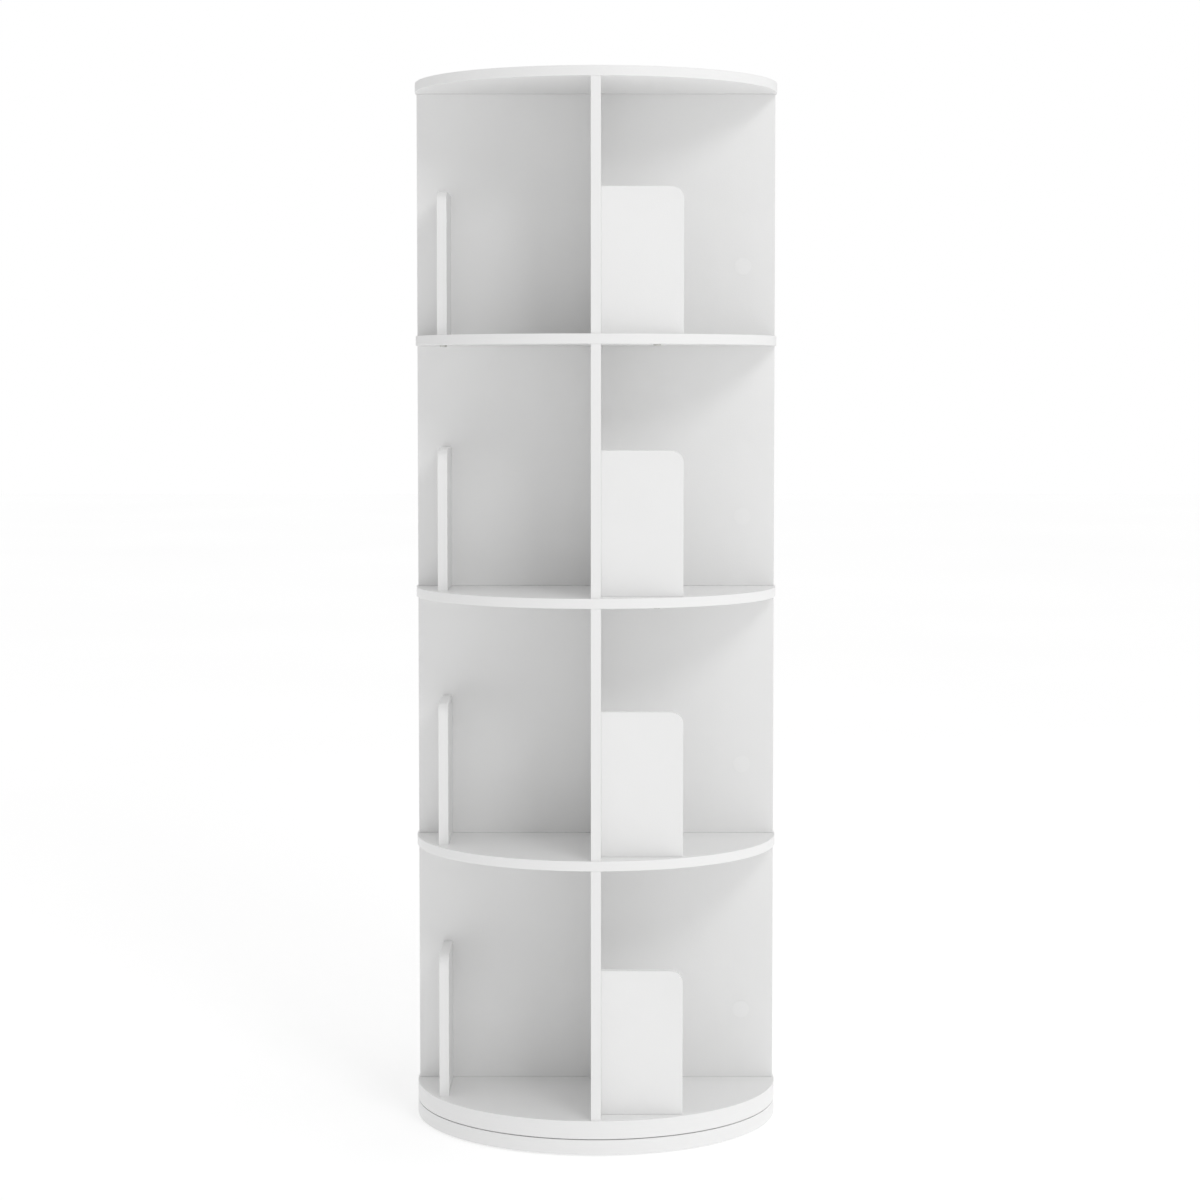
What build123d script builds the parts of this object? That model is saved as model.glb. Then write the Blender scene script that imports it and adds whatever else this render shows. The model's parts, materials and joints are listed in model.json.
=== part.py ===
from build123d import *
import os

# All lengths are millimetres. The origin is on the floor, on the turning axis: +Z is up and the front is -Y.

# Boards: melamine-faced fibreboard, the round ones with a glued edging strip
disc_radius = 225.0
board_thickness = 12.0
board_rounding = 0.6
edging_thickness = 1.0
edging_rounding = 0.6
glue_line = 0.1

# Tiers: a cross of upright panels stands on each shelf
tier_count = 4
arm_count = 4
tier_height = 300.0
panel_setback = 2.0

# Book stops: a low board beside the outer end of each arm
stop_width = 98.0
stop_height = 174.0
stop_setback = 32.0
stop_corner_radius = 15.0

# Base board and its pads
base_thickness = 18.0
pad_thickness = 2.0
pad_radius = 15.0
pad_rounding = 0.5
pad_setback = 40.0
pad_count = 6

# Ball bearing between the base and the deck
turntable_gap = 1.0
ball_diameter = 5.0
ball_count = 36
ball_circle_setback = 98.0
ball_fit = 0.2
ring_thickness = 9.0
ring_rounding = 0.5
ring_offset = 2.0
ring_gap = 2.0
outer_ring_width = 22.0
inner_ring_width = 18.0
retainer_thickness = 1.0
retainer_margin = 0.7
skirt_clearance = 10.0

# Screws that hold the bearing's two rings
ring_screw_count = 6
ring_screw_angle = 15.0
deck_screw_radius = 2.0
deck_screw_head_radius = 4.0
deck_screw_floor = 3.0
base_screw_radius = 2.5
base_screw_head_radius = 5.0
base_screw_floor = 1.0

# Countersunk screws between boards
screw_radius = 1.75
screw_head_radius = 3.75
screw_grip = 28.0
screw_tip = 4.0
head_sink = 0.3

# Pan head screws that hold the stops from below
pan_radius = 2.0
pan_head_radius = 4.5
pan_head_height = 2.4
pan_crown = 1.2
pan_grip = 23.0
skirt_hole_clearance = 1.0

# Cross recess in every screw head
recess_length = 3.6
recess_width = 0.9
recess_depth = 1.1

# Wooden dowels
dowel_radius = 3.0
dowel_chamfer = 0.6
dowel_grip = 20.0
dowel_floor = 4.0

# Cam bolts and cam locks under the top panel
cam_radius = 6.0
cam_floor = 2.5
cam_drop = 24.0
bolt_radius = 2.5
bolt_neck_radius = 1.5
bolt_neck_length = 3.0
bolt_head_radius = 3.0
bolt_head_length = 3.0
bolt_floor = 4.0
cam_slot_width = 1.5
cam_slot_depth = 1.5

# Round stickers over the screws in the panels
sticker_radius = 10.5
sticker_thickness = 0.3
sticker_offset = 4.0

# Clearances round fasteners, and what cuts run past a face
hole_fit = 0.1
end_gap = 0.5
overrun = 1.0

# Places along an arm, as shares of the panel's reach from the axis
screw_reach_shares = (0.27, 0.74)
dowel_reach_shares = (0.50, 0.90)
cam_reach_share = 0.35
top_dowel_reach_share = 0.70

# Places up a tier, as shares of its height
cross_screw_height_shares = (0.25, 0.75)
cross_dowel_height_shares = (0.12, 0.50, 0.88)

# Places on a stop, as shares of its width and height
stop_foot_share = 0.68
stop_side_share = 0.50

# The most that a rounding may take of its wall, where both sides or one side of the wall is rounded
two_side_limit_share = 0.45
one_side_limit_share = 0.8

# Levels and reaches that follow from the sizes above
arm_names = ("front", "right", "rear", "left")
cam_face_angles = (0, 180, 0, 0)
quarter_turn = 360 / arm_count
half_board = board_thickness / 2
base_bottom = pad_thickness
base_top = base_bottom + base_thickness
deck_bottom = base_top + ring_thickness + ring_offset
deck_top = deck_bottom + board_thickness
skirt_bottom = base_top + turntable_gap
tier_pitch = tier_height + board_thickness
top_underside = deck_top + tier_count * tier_pitch - board_thickness
board_radius = disc_radius - edging_thickness - glue_line
panel_reach = disc_radius - panel_setback
stop_middle = disc_radius - stop_setback - half_board
ball_radius = ball_diameter / 2
ball_circle_radius = disc_radius - ball_circle_setback
ball_height = (base_top + deck_bottom) / 2
outer_ring_inside = ball_circle_radius + ring_gap / 2
outer_ring_outside = outer_ring_inside + outer_ring_width
inner_ring_outside = ball_circle_radius - ring_gap / 2
inner_ring_inside = inner_ring_outside - inner_ring_width
screw_length = board_thickness + screw_grip
deck_screw_length = ring_thickness + board_thickness - deck_screw_floor
base_screw_length = base_thickness + ring_thickness - base_screw_floor
dowel_depth = board_thickness - dowel_floor
cam_depth = board_thickness - cam_floor
upward = Rot(180, 0, 0)


def tier_floor(level):
    """Height of the upper face of the deck, of a shelf or of the top panel."""
    return deck_top + level * tier_pitch


def disc(radius, bottom, thickness):
    """Flat round plate on the axis."""
    return Pos(0, 0, bottom) * Cylinder(radius, thickness, align=(Align.CENTER, Align.CENTER, Align.MIN))


def ring(outside, inside, bottom, thickness):
    """Flat ring on the axis."""
    return disc(outside, bottom, thickness) - disc(inside, bottom - overrun, thickness + 2 * overrun)


def turned(points):
    """Solid turned about Z from a half section of (radius, height) points."""
    outline = Polyline([(radius, 0, height) for radius, height in points], close=True)
    return revolve(make_face(outline), Axis.Z)


def grouped(pieces):
    """Separate solids kept together as one group."""
    return Compound([solid for piece in pieces for solid in piece.solids()])


def around(count, radius, height):
    """Places evenly spaced on a circle about the axis, the first at the front."""
    return [Rot(0, 0, step * 360 / count) * Pos(0, -radius, height) for step in range(count)]


def ring_screw_places(radius, height):
    """Places of the screws that hold a bearing ring from below, turned clear of the arms."""
    clear = Rot(0, 0, ring_screw_angle)
    return [clear * place * upward for place in around(ring_screw_count, radius, height)]


def rounded(board, across):
    """Board with the edges of its two large faces eased."""
    faces = board.edges().group_by(across)
    return fillet(faces[0] + faces[-1], min(board_rounding, board_thickness * two_side_limit_share))


# Fasteners, each made along Z from the face that it goes in at


def screw_section(length, shank, head, tip):
    """Half section of a countersunk screw, its head's face at height zero."""
    return [(0, 0), (head, 0), (shank, shank - head), (shank, tip - length), (0, -length)]


def cross_recess():
    """Cutter for the driver's cross in a screw head whose face is at height zero."""
    height = recess_depth + overrun
    seat = Pos(0, 0, -recess_depth)
    low = (Align.CENTER, Align.CENTER, Align.MIN)
    return seat * Box(recess_length, recess_width, height, align=low) + seat * Box(
        recess_width, recess_length, height, align=low
    )


def countersunk_screw(length, shank, head):
    """Screw whose head lies just below the face at height zero."""
    body = turned(screw_section(length - head_sink, shank, head, screw_tip)) - cross_recess()
    return Pos(0, 0, -head_sink) * body


def countersunk_hole(length, shank, head):
    """Cutter that leaves a named clearance round such a screw."""
    bore = turned(screw_section(length - head_sink + end_gap, shank + hole_fit, head + hole_fit, 0))
    mouth = disc(head + hole_fit, 0, head_sink + overrun)
    return Pos(0, 0, -head_sink) * (bore + mouth)


def pan_screw():
    """Pan head screw whose head bears on the face at height zero."""
    head = disc(pan_head_radius, 0, pan_head_height)
    crown = min(pan_crown, pan_head_height * one_side_limit_share)
    head = fillet(head.edges().group_by(Axis.Z)[-1], crown) - Pos(0, 0, pan_head_height) * cross_recess()
    length = board_thickness + pan_grip
    return head + turned([(0, 0), (pan_radius, 0), (pan_radius, screw_tip - length), (0, -length)])


def pan_hole():
    """Cutter for the shank of a pan head screw."""
    depth = board_thickness + pan_grip + end_gap
    return disc(pan_radius + hole_fit, -depth, depth + overrun)


def dowel():
    """Dowel that stands out of a board's face, at height zero, into a panel's edge."""
    depth = dowel_depth - end_gap
    pin = disc(dowel_radius, -depth, depth + dowel_grip - end_gap)
    return chamfer(pin.edges().filter_by(GeomType.CIRCLE), dowel_chamfer)


def dowel_hole():
    """Cutter for both boards that a dowel joins."""
    return disc(dowel_radius + hole_fit, -dowel_depth, dowel_depth + dowel_grip)


def cam_bolt():
    """Bolt that hangs from the top panel's lower face, at height zero, with its head in the cam lock."""
    head_top = bolt_head_length / 2 - cam_drop
    neck_top = head_top + bolt_neck_length
    top = board_thickness - bolt_floor - end_gap
    return turned(
        [
            (0, top),
            (bolt_radius, top),
            (bolt_radius, neck_top),
            (bolt_neck_radius, neck_top),
            (bolt_neck_radius, head_top),
            (bolt_head_radius, head_top),
            (bolt_head_radius, head_top - bolt_head_length),
            (0, head_top - bolt_head_length),
        ]
    )


def cam_bolt_hole():
    """Cutter for the bolt's blind hole above and its way down to the cam lock."""
    above = board_thickness - bolt_floor
    return disc(bolt_radius + hole_fit, 0, above) + disc(bolt_head_radius + hole_fit, -cam_drop, cam_drop)


def cam_lock():
    """Cam lock with its driver's face at height zero and a bay along X for the bolt's head."""
    barrel = disc(cam_radius, -cam_depth, cam_depth)
    bay_width = 2 * (bolt_head_radius + hole_fit)
    bay_depth = cam_depth - half_board + bay_width / 2
    side = (Align.MIN, Align.CENTER, Align.MIN)
    bay = Pos(-bay_width / 2, 0, -cam_depth) * Box(cam_radius + bay_width, bay_width, bay_depth, align=side)
    slot = Pos(0, 0, -cam_slot_depth) * Box(
        2 * (cam_radius - cam_slot_width),
        cam_slot_width,
        cam_slot_depth + overrun,
        align=(Align.CENTER, Align.CENTER, Align.MIN),
    )
    return barrel - bay - slot


def cam_lock_hole():
    """Cutter for the cam lock's blind hole."""
    return disc(cam_radius + hole_fit, -cam_depth - hole_fit, cam_depth + hole_fit + overrun)


# Places of the fasteners, shared by the fasteners and by the holes that take them


def on_arm(arm, reach, height):
    """Place in the middle plane of an arm, at a reach from the axis. Its stop is on the place's +X side."""
    return Rot(0, 0, arm * quarter_turn) * Pos(0, -reach, height)


def shelf_screw_places(arm, level):
    """Screws down through a shelf into the panels below it."""
    return [on_arm(arm, share * panel_reach, tier_floor(level)) for share in screw_reach_shares]


def foot_dowel_places(arm, level):
    """Dowels that locate the panels on the deck or shelf below them."""
    return [on_arm(arm, share * panel_reach, tier_floor(level)) for share in dowel_reach_shares]


def top_dowel_place(arm):
    """Dowel between a top tier panel and the top panel."""
    return on_arm(arm, top_dowel_reach_share * panel_reach, top_underside) * upward


def cam_bolt_place(arm):
    """Cam bolt between a top tier panel and the top panel."""
    return on_arm(arm, cam_reach_share * panel_reach, top_underside)


def cam_lock_place(arm):
    """Cam lock in the face of a top tier panel that is turned away from the front."""
    turned_arm = cam_bolt_place(arm) * Rot(0, 0, cam_face_angles[arm])
    return turned_arm * Pos(-half_board, 0, -cam_drop) * Rot(0, -90, 0)


def stop_foot_place(arm, level):
    """Pan head screw up through the deck or a shelf into a stop."""
    across = half_board + stop_foot_share * stop_width
    return on_arm(arm, stop_middle, tier_floor(level) - board_thickness) * Pos(across, 0, 0) * upward


def stop_side_place(arm, tier):
    """Screw through a panel into the upright edge of a stop, from the panel's other face."""
    height = tier_floor(tier) + stop_side_share * stop_height
    return on_arm(arm, stop_middle, height) * Pos(-half_board, 0, 0) * Rot(0, -90, 0)


def cross_places(tier, shares):
    """Places up the rear face of a cross panel, where the two half panels meet it."""
    return [Pos(0, half_board, tier_floor(tier) + share * tier_height) * Rot(-90, 0, 0) for share in shares]


# Boards


def edging(bottom, thickness):
    """Strip glued round a round board."""
    strip = ring(disc_radius, disc_radius - edging_thickness, bottom, thickness)
    rims = strip.edges().filter_by(GeomType.CIRCLE).sort_by(SortBy.RADIUS)[-2:]
    return fillet(rims, min(edging_rounding, edging_thickness * one_side_limit_share))


def arm_cutters(arm, tier):
    """Holes that every arm of a tier's cross has, whichever panel it belongs to."""
    cutters = [place * dowel_hole() for place in foot_dowel_places(arm, tier)]
    cutters.append(stop_side_place(arm, tier) * screw_hole)
    if tier + 1 < tier_count:
        cutters += [place * screw_hole for place in shelf_screw_places(arm, tier + 1)]
    else:
        cutters.append(top_dowel_place(arm) * dowel_hole())
        cutters.append(cam_bolt_place(arm) * cam_bolt_hole())
        cutters.append(cam_lock_place(arm) * cam_lock_hole())
    return cutters


def cross_panel(tier):
    """Upright panel across the whole disc, which the two half panels meet at its middle."""
    low = (Align.CENTER, Align.CENTER, Align.MIN)
    board = Pos(0, 0, tier_floor(tier)) * Box(2 * panel_reach, board_thickness, tier_height, align=low)
    cutters = [place * screw_hole for place in cross_places(tier, cross_screw_height_shares)]
    cutters += [place * dowel_hole() for place in cross_places(tier, cross_dowel_height_shares)]
    for name in ("right", "left"):
        cutters += arm_cutters(arm_names.index(name), tier)
    return rounded(board, Axis.Y) - cutters


def half_panel(arm, tier):
    """Upright panel from the cross panel's face out to the rim."""
    length = panel_reach - half_board
    low = (Align.CENTER, Align.MIN, Align.MIN)
    board = rounded(Box(board_thickness, length, tier_height, align=low), Axis.X)
    cutters = [place * screw_hole for place in cross_places(tier, cross_screw_height_shares)]
    cutters += [place * dowel_hole() for place in cross_places(tier, cross_dowel_height_shares)]
    return on_arm(arm, panel_reach, tier_floor(tier)) * board - cutters - arm_cutters(arm, tier)


def book_stop(arm, tier):
    """Low board beside the end of an arm, with its upper outer corner rounded."""
    low = (Align.MIN, Align.CENTER, Align.MIN)
    board = Box(stop_width, board_thickness, stop_height, align=low)
    corner = board.edges().filter_by(Axis.Y).sort_by(Axis.Z)[-2:].sort_by(Axis.X)[-1]
    board = rounded(fillet(corner, stop_corner_radius), Axis.Y)
    placed = on_arm(arm, stop_middle, tier_floor(tier)) * Pos(half_board, 0, 0) * board
    return placed - [stop_foot_place(arm, tier) * pan_hole(), stop_side_place(arm, tier) * screw_hole]


def floor_board(level):
    """Deck or shelf that carries a tier."""
    board = disc(board_radius, tier_floor(level) - board_thickness, board_thickness)
    cutters = []
    for arm in range(arm_count):
        cutters += [place * dowel_hole() for place in foot_dowel_places(arm, level)]
        cutters.append(stop_foot_place(arm, level) * pan_hole())
        if level > 0:
            cutters += [place * screw_hole for place in shelf_screw_places(arm, level)]
    if level == 0:
        cutters += [place * deck_screw_hole for place in deck_screw_places]
    return board - cutters


def top_panel():
    """Plain upper board, held from below."""
    board = disc(board_radius, top_underside, board_thickness)
    cutters = []
    for arm in range(arm_count):
        cutters.append(top_dowel_place(arm) * dowel_hole())
        cutters.append(cam_bolt_place(arm) * cam_bolt_hole())
    return board - cutters


def deck_skirt():
    """Ring glued under the deck that hides the bearing, with holes for the heads of the stops' screws."""
    skirt = ring(board_radius, outer_ring_outside + skirt_clearance, skirt_bottom, deck_bottom - skirt_bottom)
    hole = disc(pan_head_radius + skirt_hole_clearance, -overrun, deck_bottom - skirt_bottom + 2 * overrun)
    return skirt - [stop_foot_place(arm, 0) * hole for arm in range(arm_count)]


# Turntable


def base_board():
    """Round board that stands still on the floor."""
    board = disc(board_radius, base_bottom, base_thickness)
    return board - [place * base_screw_hole for place in base_screw_places]


def pads():
    """Pads under the base board."""
    pad = disc(pad_radius, 0, pad_thickness)
    pad = fillet(pad.edges().group_by(Axis.Z)[0], min(pad_rounding, pad_thickness * two_side_limit_share))
    return grouped([place * pad for place in around(pad_count, disc_radius - pad_setback, 0)])


def eased_ring(outside, inside, bottom):
    """Ring of the bearing with its outer and inner rims eased."""
    body = ring(outside, inside, bottom, ring_thickness)
    eased = min(ring_rounding, ring_thickness * two_side_limit_share)
    return fillet(body.edges().filter_by(GeomType.CIRCLE), eased)


def ball_groove():
    """Cutter for the groove that the balls run in."""
    return Pos(0, 0, ball_height) * Torus(ball_circle_radius, ball_radius + ball_fit)


def outer_ring():
    """Bearing ring that is screwed to the base board."""
    body = eased_ring(outer_ring_outside, outer_ring_inside, base_top)
    return body - ball_groove() - [place * base_screw_hole for place in base_screw_places]


def inner_ring():
    """Bearing ring that is screwed to the deck."""
    body = eased_ring(inner_ring_outside, inner_ring_inside, deck_bottom - ring_thickness)
    return body - ball_groove() - [place * deck_screw_hole for place in deck_screw_places]


def balls():
    """Balls between the two rings."""
    places = around(ball_count, ball_circle_radius, ball_height)
    return grouped([place * Sphere(ball_radius) for place in places])


def retainer():
    """Thin cage that keeps the balls apart."""
    height = ball_diameter + 2 * retainer_margin
    middle = retainer_thickness / 2
    cage = ring(ball_circle_radius + middle, ball_circle_radius - middle, ball_height - height / 2, height)
    pocket = Rot(90, 0, 0) * Cylinder(ball_radius + ball_fit, retainer_thickness + 2 * overrun)
    return cage - [place * pocket for place in around(ball_count, ball_circle_radius, ball_height)]


# Fasteners that are used many times are made once and placed
screw = countersunk_screw(screw_length, screw_radius, screw_head_radius)
screw_hole = countersunk_hole(screw_length, screw_radius, screw_head_radius)
deck_screw = countersunk_screw(deck_screw_length, deck_screw_radius, deck_screw_head_radius)
deck_screw_hole = countersunk_hole(deck_screw_length, deck_screw_radius, deck_screw_head_radius)
base_screw = countersunk_screw(base_screw_length, base_screw_radius, base_screw_head_radius)
base_screw_hole = countersunk_hole(base_screw_length, base_screw_radius, base_screw_head_radius)
deck_screw_circle = (inner_ring_outside + inner_ring_inside) / 2
base_screw_circle = (outer_ring_outside + outer_ring_inside) / 2
deck_screw_places = ring_screw_places(deck_screw_circle, deck_bottom - ring_thickness)
base_screw_places = ring_screw_places(base_screw_circle, base_bottom)

arms = range(arm_count)
tiers = range(tier_count)
shelves = range(1, tier_count)

# Every node of the part, by name
nodes = {
    "base_board": base_board(),
    "base_edging": edging(base_bottom, base_thickness),
    "base_pads": pads(),
    "bearing_outer_ring": outer_ring(),
    "bearing_inner_ring": inner_ring(),
    "bearing_balls": balls(),
    "ball_retainer": retainer(),
    "outer_ring_screws": grouped([place * base_screw for place in base_screw_places]),
    "inner_ring_screws": grouped([place * deck_screw for place in deck_screw_places]),
    "bottom_deck": floor_board(0),
    "deck_skirt": deck_skirt(),
    "deck_edging": edging(skirt_bottom, deck_top - skirt_bottom),
    "top_panel": top_panel(),
    "top_edging": edging(top_underside, board_thickness),
}

for level in shelves:
    nodes[f"shelf_{level}"] = floor_board(level)
    nodes[f"shelf_{level}_edging"] = edging(tier_floor(level) - board_thickness, board_thickness)

for tier in tiers:
    nodes[f"tier_{tier + 1}_cross_panel"] = cross_panel(tier)
    for name in ("front", "rear"):
        nodes[f"tier_{tier + 1}_{name}_panel"] = half_panel(arm_names.index(name), tier)
    for arm in arms:
        nodes[f"tier_{tier + 1}_{arm_names[arm]}_stop"] = book_stop(arm, tier)

shelf_places = [place for level in shelves for arm in arms for place in shelf_screw_places(arm, level)]
foot_places = [place for tier in tiers for arm in arms for place in foot_dowel_places(arm, tier)]
side_places = [stop_side_place(arm, tier) for tier in tiers for arm in arms]
stop_foot_places = [stop_foot_place(arm, tier) for tier in tiers for arm in arms]
cross_screw_places = [place for tier in tiers for place in cross_places(tier, cross_screw_height_shares)]
cross_dowel_places = [place for tier in tiers for place in cross_places(tier, cross_dowel_height_shares)]
sticker = Pos(0, sticker_offset, 0) * disc(sticker_radius, 0, sticker_thickness)

nodes["shelf_screws"] = grouped([place * screw for place in shelf_places])
nodes["panel_screws"] = grouped([place * screw for place in cross_screw_places])
nodes["panel_dowels"] = grouped([place * dowel() for place in cross_dowel_places])
nodes["foot_dowels"] = grouped([place * dowel() for place in foot_places])
nodes["top_dowels"] = grouped([top_dowel_place(arm) * dowel() for arm in arms])
nodes["stop_side_screws"] = grouped([place * screw for place in side_places])
nodes["stop_foot_screws"] = grouped([place * pan_screw() for place in stop_foot_places])
nodes["screw_stickers"] = grouped([place * sticker for place in side_places])
nodes["cam_bolts"] = grouped([cam_bolt_place(arm) * cam_bolt() for arm in arms])
nodes["cam_locks"] = grouped([cam_lock_place(arm) * cam_lock() for arm in arms])

os.makedirs("parts", exist_ok=True)
for name, piece in nodes.items():
    export_step(piece, f"parts/{name}.step")
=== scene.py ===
import json
import math

import bpy
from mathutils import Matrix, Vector


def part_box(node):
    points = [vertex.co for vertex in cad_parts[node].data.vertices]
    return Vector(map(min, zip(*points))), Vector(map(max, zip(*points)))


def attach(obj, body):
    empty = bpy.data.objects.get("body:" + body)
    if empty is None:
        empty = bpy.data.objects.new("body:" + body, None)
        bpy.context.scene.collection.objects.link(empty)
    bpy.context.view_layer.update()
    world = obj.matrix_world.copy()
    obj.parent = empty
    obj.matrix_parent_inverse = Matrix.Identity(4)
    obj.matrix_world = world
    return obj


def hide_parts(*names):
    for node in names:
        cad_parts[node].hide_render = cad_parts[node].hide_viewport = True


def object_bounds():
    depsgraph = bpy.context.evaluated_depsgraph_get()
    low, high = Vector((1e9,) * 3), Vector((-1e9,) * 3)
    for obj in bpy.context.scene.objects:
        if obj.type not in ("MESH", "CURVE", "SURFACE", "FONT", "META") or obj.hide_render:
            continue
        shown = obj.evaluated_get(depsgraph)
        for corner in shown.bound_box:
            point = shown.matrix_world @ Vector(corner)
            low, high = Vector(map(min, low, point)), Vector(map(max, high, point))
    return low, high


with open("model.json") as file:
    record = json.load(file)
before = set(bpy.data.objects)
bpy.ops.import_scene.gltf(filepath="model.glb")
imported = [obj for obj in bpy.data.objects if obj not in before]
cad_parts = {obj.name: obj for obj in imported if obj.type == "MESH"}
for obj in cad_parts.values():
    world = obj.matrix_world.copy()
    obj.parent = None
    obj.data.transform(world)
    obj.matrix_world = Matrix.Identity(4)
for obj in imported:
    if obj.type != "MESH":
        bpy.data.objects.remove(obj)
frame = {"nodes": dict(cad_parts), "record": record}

cad_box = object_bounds()
nodes = frame["nodes"]
scene = bpy.context.scene

# Camera, in metres and degrees: it stands in front, a little above the middle, and looks slightly down
IMAGE_SIDE = 1200
FOCAL_PIXELS = 2869.67
SENSOR_WIDTH = 36.0
CAMERA_PLACE = (0.00491, -3.597, 0.92257)
CAMERA_PITCH = 3.399
CAMERA_SHIFT = -0.04
CAMERA_REACH = 40.0
QUARTER_TURN = math.pi / 2

# Studio light: broad soft lobes of the surroundings, each with its direction and strength,
# and one key light
SKY_LOBES = (
    ((1.0, 0.0, 0.0), 0.60),
    ((-1.0, 0.0, 0.0), 0.27),
    ((0.0, 1.0, 0.0), 0.50),
    ((0.0, 0.0, 1.0), 0.54),
    ((0.6, -0.8, 0.0), 0.33),
    ((-0.6, -0.8, 0.0), 0.18),
)
BACKDROP = 1.0
KEY_PLACE = (1.5, -3.3, 3.0)
KEY_SIZE = 1.0
KEY_POWER = 24.0
AIM_POINT = (0.0, 0.0, 0.65)

# Finishes: where a pattern reaches its darker and its lighter tone, and the depth of each relief
DARK_STOP_SHARE = 0.3
LIGHT_STOP_SHARE = 0.7
BOARD_GRAIN_DEPTH = 0.0003
EDGING_LINE_DEPTH = 0.0001
STICKER_GRAIN_DEPTH = 0.0001
ZINC_GRAIN_DEPTH = 0.0001
TURNING_LINE_DEPTH = 0.0001
BEECH_FLECK_DEPTH = 0.0001
RUBBER_CELL_DEPTH = 0.0002

# Floor
FLOOR_SIDE = 40.0
FLOOR_GLOW = 0.345

# Edging strips: a finer ring stands for each faceted one
RING_STEPS = 288
CORNER_STEPS = 4
EDGING_ROUNDING = 0.0006
EDGING_WIDTH = 0.0016

# Stickers over the screws in the panels: one on each arm of each tier
STICKER_STEPS = 72
STICKER_RADIUS = 0.0105
STICKER_THICKNESS = 0.0003
TIERS = 4
ARMS = 4


def new_material(name):
    """Material with its node tree, its shader and its object coordinates."""
    material = bpy.data.materials.new(name)
    material.use_nodes = True
    tree = material.node_tree
    shader = tree.nodes["Principled BSDF"]
    coordinates = tree.nodes.new("ShaderNodeTexCoord")
    return material, tree, shader, coordinates.outputs["Object"]


def noise(tree, place, per_metre, detail=3.0, packing=(1.0, 1.0, 1.0)):
    """Noise with so many features to the metre, packed closer or looser along each axis by a factor."""
    mapping = tree.nodes.new("ShaderNodeMapping")
    mapping.inputs["Scale"].default_value = packing
    tree.links.new(place, mapping.inputs["Vector"])
    texture = tree.nodes.new("ShaderNodeTexNoise")
    texture.inputs["Scale"].default_value = per_metre
    texture.inputs["Detail"].default_value = detail
    tree.links.new(mapping.outputs["Vector"], texture.inputs["Vector"])
    return texture.outputs["Fac"]


def coloured(tree, shader, pattern, dark, light):
    """Base colour between two tones, driven by a pattern."""
    ramp = tree.nodes.new("ShaderNodeValToRGB")
    ramp.color_ramp.elements[0].position = DARK_STOP_SHARE
    ramp.color_ramp.elements[0].color = (*dark, 1.0)
    ramp.color_ramp.elements[1].position = LIGHT_STOP_SHARE
    ramp.color_ramp.elements[1].color = (*light, 1.0)
    tree.links.new(pattern, ramp.inputs["Fac"])
    tree.links.new(ramp.outputs["Color"], shader.inputs["Base Color"])


def roughened(tree, shader, pattern, least, most):
    """Roughness between two limits, driven by a pattern."""
    band = tree.nodes.new("ShaderNodeMapRange")
    band.inputs["To Min"].default_value = least
    band.inputs["To Max"].default_value = most
    tree.links.new(pattern, band.inputs["Value"])
    tree.links.new(band.outputs["Result"], shader.inputs["Roughness"])


def bump(tree, shader, pattern, strength, depth):
    """Fine relief on the shader's surface."""
    relief = tree.nodes.new("ShaderNodeBump")
    relief.inputs["Strength"].default_value = strength
    relief.inputs["Distance"].default_value = depth
    tree.links.new(pattern, relief.inputs["Height"])
    tree.links.new(relief.outputs["Normal"], shader.inputs["Normal"])


def white_board_finish():
    """White melamine facing: a faint cloud of tone and a fine pressed grain."""
    material, tree, shader, place = new_material("white_melamine")
    cloud = noise(tree, place, per_metre=7.0)
    grain = noise(tree, place, per_metre=900.0, detail=2.0)
    coloured(tree, shader, cloud, dark=(0.845, 0.845, 0.842), light=(0.865, 0.865, 0.863))
    roughened(tree, shader, grain, least=0.40, most=0.50)
    bump(tree, shader, grain, strength=0.35, depth=BOARD_GRAIN_DEPTH)
    return material


def edging_finish():
    """White edging strip with faint lines along it from the rollers."""
    material, tree, shader, place = new_material("white_edging_strip")
    lines = noise(tree, place, per_metre=30.0, packing=(1.0, 1.0, 90.0))
    coloured(tree, shader, lines, dark=(0.845, 0.845, 0.842), light=(0.865, 0.865, 0.863))
    roughened(tree, shader, lines, least=0.34, most=0.44)
    bump(tree, shader, lines, strength=0.10, depth=EDGING_LINE_DEPTH)
    return material


def sticker_finish():
    """Matt vinyl, a shade lighter than the boards."""
    material, tree, shader, place = new_material("white_vinyl")
    grain = noise(tree, place, per_metre=1500.0, detail=2.0)
    coloured(tree, shader, grain, dark=(0.868, 0.868, 0.866), light=(0.884, 0.884, 0.882))
    roughened(tree, shader, grain, least=0.55, most=0.68)
    bump(tree, shader, grain, strength=0.15, depth=STICKER_GRAIN_DEPTH)
    return material


def zinc_finish():
    """Zinc-plated steel with a fine brushed grain."""
    material, tree, shader, place = new_material("zinc_plated_steel")
    grain = noise(tree, place, per_metre=700.0, packing=(1.0, 1.0, 0.2))
    shader.inputs["Metallic"].default_value = 1.0
    coloured(tree, shader, grain, dark=(0.50, 0.50, 0.48), light=(0.66, 0.66, 0.64))
    roughened(tree, shader, grain, least=0.26, most=0.44)
    bump(tree, shader, grain, strength=0.10, depth=ZINC_GRAIN_DEPTH)
    return material


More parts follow.
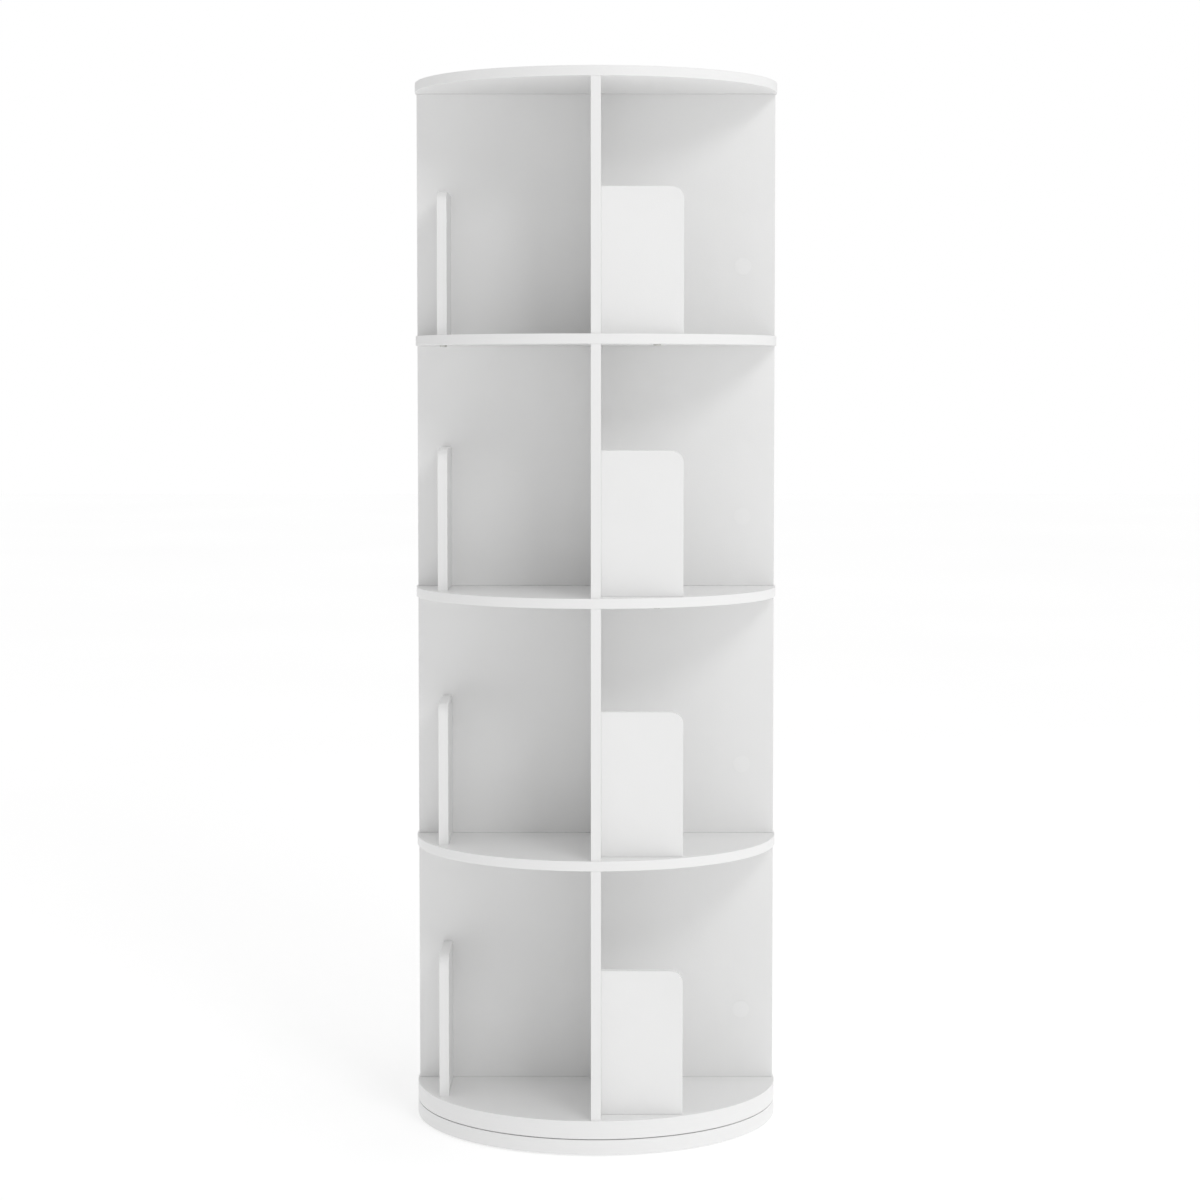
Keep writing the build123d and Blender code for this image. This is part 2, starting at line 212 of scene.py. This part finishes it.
def aluminium_finish():
    """Rolled aluminium ring with turning lines round its axis."""
    material, tree, shader, place = new_material("turned_aluminium")
    flat = tree.nodes.new("ShaderNodeVectorMath")
    flat.operation = "MULTIPLY"
    flat.inputs[1].default_value = (1.0, 1.0, 0.0)
    tree.links.new(place, flat.inputs[0])
    reach = tree.nodes.new("ShaderNodeVectorMath")
    reach.operation = "LENGTH"
    tree.links.new(flat.outputs["Vector"], reach.inputs[0])
    lines = tree.nodes.new("ShaderNodeTexNoise")
    lines.noise_dimensions = "1D"
    lines.inputs["Scale"].default_value = 2500.0
    tree.links.new(reach.outputs["Value"], lines.inputs["W"])
    turning = lines.outputs["Fac"]
    shader.inputs["Metallic"].default_value = 1.0
    coloured(tree, shader, turning, dark=(0.68, 0.69, 0.70), light=(0.80, 0.81, 0.82))
    roughened(tree, shader, turning, least=0.24, most=0.40)
    bump(tree, shader, turning, strength=0.15, depth=TURNING_LINE_DEPTH)
    return material


def ball_finish():
    """Polished bearing steel with a trace of grease."""
    material, tree, shader, place = new_material("polished_bearing_steel")
    smear = noise(tree, place, per_metre=400.0)
    shader.inputs["Metallic"].default_value = 1.0
    coloured(tree, shader, smear, dark=(0.62, 0.62, 0.63), light=(0.74, 0.74, 0.75))
    roughened(tree, shader, smear, least=0.06, most=0.20)
    return material


def nylon_finish():
    """Natural nylon, slightly cloudy."""
    material, tree, shader, place = new_material("natural_nylon")
    cloud = noise(tree, place, per_metre=150.0)
    coloured(tree, shader, cloud, dark=(0.60, 0.58, 0.50), light=(0.70, 0.69, 0.62))
    roughened(tree, shader, cloud, least=0.40, most=0.55)
    return material


def beech_finish():
    """Raw beech with short dark flecks."""
    material, tree, shader, place = new_material("raw_beech")
    flecks = noise(tree, place, per_metre=500.0, packing=(1.0, 1.0, 0.12))
    coloured(tree, shader, flecks, dark=(0.42, 0.25, 0.12), light=(0.62, 0.42, 0.24))
    roughened(tree, shader, flecks, least=0.60, most=0.80)
    bump(tree, shader, flecks, strength=0.2, depth=BEECH_FLECK_DEPTH)
    return material


def rubber_finish():
    """Soft foam rubber with fine open cells."""
    material, tree, shader, place = new_material("foam_rubber")
    cells = noise(tree, place, per_metre=1800.0)
    coloured(tree, shader, cells, dark=(0.018, 0.018, 0.018), light=(0.045, 0.045, 0.045))
    roughened(tree, shader, cells, least=0.75, most=0.95)
    bump(tree, shader, cells, strength=0.3, depth=RUBBER_CELL_DEPTH)
    return material


def floor_finish():
    """Pale studio floor."""
    material, tree, shader, place = new_material("pale_floor")
    cloud = noise(tree, place, per_metre=0.6)
    coloured(tree, shader, cloud, dark=(0.84, 0.84, 0.84), light=(0.86, 0.86, 0.86))
    shader.inputs["Roughness"].default_value = 0.9
    shader.inputs["Specular IOR Level"].default_value = 0.1
    shader.inputs["Emission Color"].default_value = (1.0, 1.0, 1.0, 1.0)
    shader.inputs["Emission Strength"].default_value = FLOOR_GLOW
    return material


def dress_nodes(finishes):
    """Every solid of the frame takes the finish of its slot."""
    for row in frame["record"]["subparts"]:
        solid = nodes[row["node"]]
        solid.data.materials.clear()
        solid.data.materials.append(finishes[row["material_slot"]])


def combined(tree, operation, first, second=None):
    """Math node on a value, with a fixed second value if one is given."""
    step = tree.nodes.new("ShaderNodeMath")
    step.operation = operation
    tree.links.new(first, step.inputs[0])
    if second is not None:
        step.inputs[1].default_value = second
    return step


def node_tree_with(name, inputs):
    """Empty geometry tree with named length inputs and one material input."""
    tree = bpy.data.node_groups.new(name, "GeometryNodeTree")
    for label, kind in inputs:
        tree.interface.new_socket(label, in_out="INPUT", socket_type=kind)
    tree.interface.new_socket("Geometry", in_out="OUTPUT", socket_type="NodeSocketGeometry")
    return tree, tree.nodes.new("NodeGroupInput"), tree.nodes.new("NodeGroupOutput")


def finish_tree(tree, source, group_in, group_out):
    """Realizes what the tree made and gives it its material."""
    real = tree.nodes.new("GeometryNodeRealizeInstances")
    painted = tree.nodes.new("GeometryNodeSetMaterial")
    tree.links.new(source, real.inputs["Geometry"])
    tree.links.new(real.outputs["Geometry"], painted.inputs["Geometry"])
    tree.links.new(group_in.outputs["Material"], painted.inputs["Material"])
    tree.links.new(painted.outputs["Geometry"], group_out.inputs["Geometry"])


def edging_tree():
    """Ring swept round the axis from a rounded strip section."""
    tree, group_in, group_out = node_tree_with(
        "edging_ring",
        [
            ("Radius", "NodeSocketFloat"),
            ("Width", "NodeSocketFloat"),
            ("Height", "NodeSocketFloat"),
            ("Rounding", "NodeSocketFloat"),
            ("Level", "NodeSocketFloat"),
            ("Material", "NodeSocketMaterial"),
        ],
    )
    circle = tree.nodes.new("GeometryNodeCurvePrimitiveCircle")
    circle.inputs["Resolution"].default_value = RING_STEPS
    tree.links.new(group_in.outputs["Radius"], circle.inputs["Radius"])
    section = tree.nodes.new("GeometryNodeCurvePrimitiveQuadrilateral")
    tree.links.new(group_in.outputs["Width"], section.inputs["Width"])
    tree.links.new(group_in.outputs["Height"], section.inputs["Height"])
    corners = tree.nodes.new("GeometryNodeFilletCurve")
    corners.mode = "POLY"
    corners.inputs["Count"].default_value = CORNER_STEPS
    tree.links.new(section.outputs["Curve"], corners.inputs["Curve"])
    tree.links.new(group_in.outputs["Rounding"], corners.inputs["Radius"])
    sweep = tree.nodes.new("GeometryNodeCurveToMesh")
    tree.links.new(circle.outputs["Curve"], sweep.inputs["Curve"])
    tree.links.new(corners.outputs["Curve"], sweep.inputs["Profile Curve"])
    lift = tree.nodes.new("ShaderNodeCombineXYZ")
    tree.links.new(group_in.outputs["Level"], lift.inputs["Z"])
    placed = tree.nodes.new("GeometryNodeSetPosition")
    tree.links.new(sweep.outputs["Mesh"], placed.inputs["Geometry"])
    tree.links.new(lift.outputs["Vector"], placed.inputs["Offset"])
    smooth = tree.nodes.new("GeometryNodeSetShadeSmooth")
    tree.links.new(placed.outputs["Geometry"], smooth.inputs["Geometry"])
    finish_tree(tree, smooth.outputs["Geometry"], group_in, group_out)
    return tree


def sticker_tree():
    """Flat discs stacked by tier on one arm, and that stack repeated round the axis."""
    tree, group_in, group_out = node_tree_with(
        "sticker_stacks",
        [
            ("Radius", "NodeSocketFloat"),
            ("Thickness", "NodeSocketFloat"),
            ("Face", "NodeSocketFloat"),
            ("Reach", "NodeSocketFloat"),
            ("Level", "NodeSocketFloat"),
            ("Tier Step", "NodeSocketFloat"),
            ("Tiers", "NodeSocketInt"),
            ("Arms", "NodeSocketInt"),
            ("Material", "NodeSocketMaterial"),
        ],
    )
    puck = tree.nodes.new("GeometryNodeMeshCylinder")
    puck.inputs["Vertices"].default_value = STICKER_STEPS
    tree.links.new(group_in.outputs["Radius"], puck.inputs["Radius"])
    tree.links.new(group_in.outputs["Thickness"], puck.inputs["Depth"])
    smooth = tree.nodes.new("GeometryNodeSetShadeSmooth")
    tree.links.new(puck.outputs["Mesh"], smooth.inputs["Geometry"])
    face = combined(tree, "MULTIPLY", group_in.outputs["Face"], -1.0)
    middle = combined(tree, "MULTIPLY_ADD", group_in.outputs["Thickness"], -0.5)
    tree.links.new(face.outputs[0], middle.inputs[2])
    reach = combined(tree, "MULTIPLY", group_in.outputs["Reach"], -1.0)
    start = tree.nodes.new("ShaderNodeCombineXYZ")
    tree.links.new(middle.outputs[0], start.inputs["X"])
    tree.links.new(reach.outputs[0], start.inputs["Y"])
    tree.links.new(group_in.outputs["Level"], start.inputs["Z"])
    step = tree.nodes.new("ShaderNodeCombineXYZ")
    tree.links.new(group_in.outputs["Tier Step"], step.inputs["Z"])
    stack = tree.nodes.new("GeometryNodeMeshLine")
    tree.links.new(group_in.outputs["Tiers"], stack.inputs["Count"])
    tree.links.new(start.outputs["Vector"], stack.inputs["Start Location"])
    tree.links.new(step.outputs["Vector"], stack.inputs["Offset"])
    on_stack = tree.nodes.new("GeometryNodeInstanceOnPoints")
    on_stack.inputs["Rotation"].default_value = (0.0, QUARTER_TURN, 0.0)
    tree.links.new(stack.outputs["Mesh"], on_stack.inputs["Points"])
    tree.links.new(smooth.outputs["Geometry"], on_stack.inputs["Instance"])
    hub = tree.nodes.new("GeometryNodeMeshLine")
    hub.inputs["Offset"].default_value = (0.0, 0.0, 0.0)
    tree.links.new(group_in.outputs["Arms"], hub.inputs["Count"])
    arm = tree.nodes.new("GeometryNodeInputIndex")
    turn_share = combined(tree, "DIVIDE", arm.outputs["Index"])
    tree.links.new(group_in.outputs["Arms"], turn_share.inputs[1])
    angle = combined(tree, "MULTIPLY", turn_share.outputs[0], math.tau)
    turn = tree.nodes.new("ShaderNodeCombineXYZ")
    tree.links.new(angle.outputs[0], turn.inputs["Z"])
    on_hub = tree.nodes.new("GeometryNodeInstanceOnPoints")
    tree.links.new(hub.outputs["Mesh"], on_hub.inputs["Points"])
    tree.links.new(on_stack.outputs["Instances"], on_hub.inputs["Instance"])
    tree.links.new(turn.outputs["Vector"], on_hub.inputs["Rotation"])
    finish_tree(tree, on_hub.outputs["Instances"], group_in, group_out)
    return tree


def grown(name, tree, values):
    """Plain mesh object that a geometry tree makes with these values."""
    seed_mesh = bpy.data.meshes.new(name + "_seed")
    seed = bpy.data.objects.new(name + "_seed", seed_mesh)
    scene.collection.objects.link(seed)
    modifier = seed.modifiers.new("grow", "NODES")
    modifier.node_group = tree
    for item in tree.interface.items_tree:
        if item.in_out == "INPUT" and item.name in values:
            modifier[item.identifier] = values[item.name]
    weighted = seed.modifiers.new("even_normals", "WEIGHTED_NORMAL")
    weighted.keep_sharp = True
    bpy.context.view_layer.update()
    evaluated = seed.evaluated_get(bpy.context.evaluated_depsgraph_get())
    result = bpy.data.objects.new(name, bpy.data.meshes.new_from_object(evaluated))
    scene.collection.objects.link(result)
    bpy.data.objects.remove(seed)
    bpy.data.meshes.remove(seed_mesh)
    return result


def edging_rings(finish):
    """One smooth ring for every edging strip of the frame."""
    tree = edging_tree()
    outside = (cad_box[1].y - cad_box[0].y) / 2
    for body, members in frame["record"]["behaviour"]["bodies"].items():
        for node in members:
            if not node.endswith("edging"):
                continue
            low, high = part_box(node)
            values = {
                "Radius": outside - EDGING_WIDTH / 2,
                "Width": EDGING_WIDTH,
                "Height": high.z - low.z,
                "Rounding": EDGING_ROUNDING,
                "Level": (low.z + high.z) / 2,
                "Material": finish,
            }
            ring = grown(node + "_ring", tree, values)
            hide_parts(node)
            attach(ring, body)


def stickers(finish):
    """Smooth stickers in place of the faceted ones, at the places that these have in the frame."""
    low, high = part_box("screw_stickers")
    panel_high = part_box("tier_1_front_panel")[1]
    values = {
        "Radius": STICKER_RADIUS,
        "Thickness": STICKER_THICKNESS,
        "Face": panel_high.x,
        "Reach": high.y - STICKER_RADIUS,
        "Level": low.z + STICKER_RADIUS,
        "Tier Step": (high.z - low.z - 2 * STICKER_RADIUS) / (TIERS - 1),
        "Tiers": TIERS,
        "Arms": ARMS,
        "Material": finish,
    }
    discs = grown("round_stickers", sticker_tree(), values)
    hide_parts("screw_stickers")
    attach(discs, "case")


def studio_floor():
    """Wide pale floor under the object."""
    half = FLOOR_SIDE / 2
    mesh = bpy.data.meshes.new("studio_floor")
    corners = [(-half, -half, 0), (half, -half, 0), (half, half, 0), (-half, half, 0)]
    mesh.from_pydata(corners, [], [(0, 1, 2, 3)])
    floor = bpy.data.objects.new("studio_floor", mesh)
    floor.data.materials.append(floor_finish())
    scene.collection.objects.link(floor)


def aimed(place, target):
    """Rotation that points an object's -Z from a place at a target."""
    return (Vector(target) - Vector(place)).to_track_quat("-Z", "Y").to_euler()


def sky_strength(tree):
    """Brightness of the surroundings: the sum of the soft lobes in each direction."""
    direction = tree.nodes.new("ShaderNodeTexCoord").outputs["Generated"]
    total = None
    for axis, strength in SKY_LOBES:
        facing = tree.nodes.new("ShaderNodeVectorMath")
        facing.operation = "DOT_PRODUCT"
        facing.inputs[1].default_value = axis
        tree.links.new(direction, facing.inputs[0])
        lit = combined(tree, "MAXIMUM", facing.outputs["Value"], 0.0)
        lobe = combined(tree, "MULTIPLY", lit.outputs[0], strength)
        if total is None:
            total = lobe
            continue
        both = combined(tree, "ADD", total.outputs[0])
        tree.links.new(lobe.outputs[0], both.inputs[1])
        total = both
    return total.outputs[0]


def studio_light():
    """White surroundings with soft lobes of light, and one key light at the front right."""
    world = bpy.data.worlds.new("white_studio")
    world.use_nodes = True
    tree = world.node_tree
    sky = tree.nodes["Background"]
    sky.inputs["Color"].default_value = (1.0, 1.0, 1.0, 1.0)
    tree.links.new(sky_strength(tree), sky.inputs["Strength"])
    backdrop = tree.nodes.new("ShaderNodeBackground")
    backdrop.inputs["Color"].default_value = (1.0, 1.0, 1.0, 1.0)
    backdrop.inputs["Strength"].default_value = BACKDROP
    path = tree.nodes.new("ShaderNodeLightPath")
    either = tree.nodes.new("ShaderNodeMixShader")
    tree.links.new(path.outputs["Is Camera Ray"], either.inputs["Fac"])
    tree.links.new(sky.outputs["Background"], either.inputs[1])
    tree.links.new(backdrop.outputs["Background"], either.inputs[2])
    tree.links.new(either.outputs["Shader"], tree.nodes["World Output"].inputs["Surface"])
    scene.world = world
    lamp = bpy.data.lights.new("key_light", "AREA")
    lamp.size = KEY_SIZE
    lamp.energy = KEY_POWER
    key = bpy.data.objects.new("key_light", lamp)
    key.location = KEY_PLACE
    key.rotation_euler = aimed(KEY_PLACE, AIM_POINT)
    scene.collection.objects.link(key)


def studio_camera():
    """Camera at the photograph's place."""
    data = bpy.data.cameras.new("front_camera")
    data.sensor_width = SENSOR_WIDTH
    data.lens = FOCAL_PIXELS / IMAGE_SIDE * SENSOR_WIDTH
    data.shift_y = CAMERA_SHIFT
    data.clip_end = CAMERA_REACH
    camera = bpy.data.objects.new("front_camera", data)
    camera.location = CAMERA_PLACE
    camera.rotation_euler = (QUARTER_TURN - math.radians(CAMERA_PITCH), 0, 0)
    scene.collection.objects.link(camera)
    scene.camera = camera


finishes = {
    "white_board": white_board_finish(),
    "white_edging": edging_finish(),
    "white_sticker": sticker_finish(),
    "zinc_steel": zinc_finish(),
    "bearing_aluminium": aluminium_finish(),
    "ball_steel": ball_finish(),
    "retainer_nylon": nylon_finish(),
    "beech": beech_finish(),
    "pad_rubber": rubber_finish(),
}
dress_nodes(finishes)
edging_rings(finishes["white_edging"])
stickers(finishes["white_sticker"])
studio_floor()
studio_light()
studio_camera()
scene.view_settings.view_transform = "Standard"
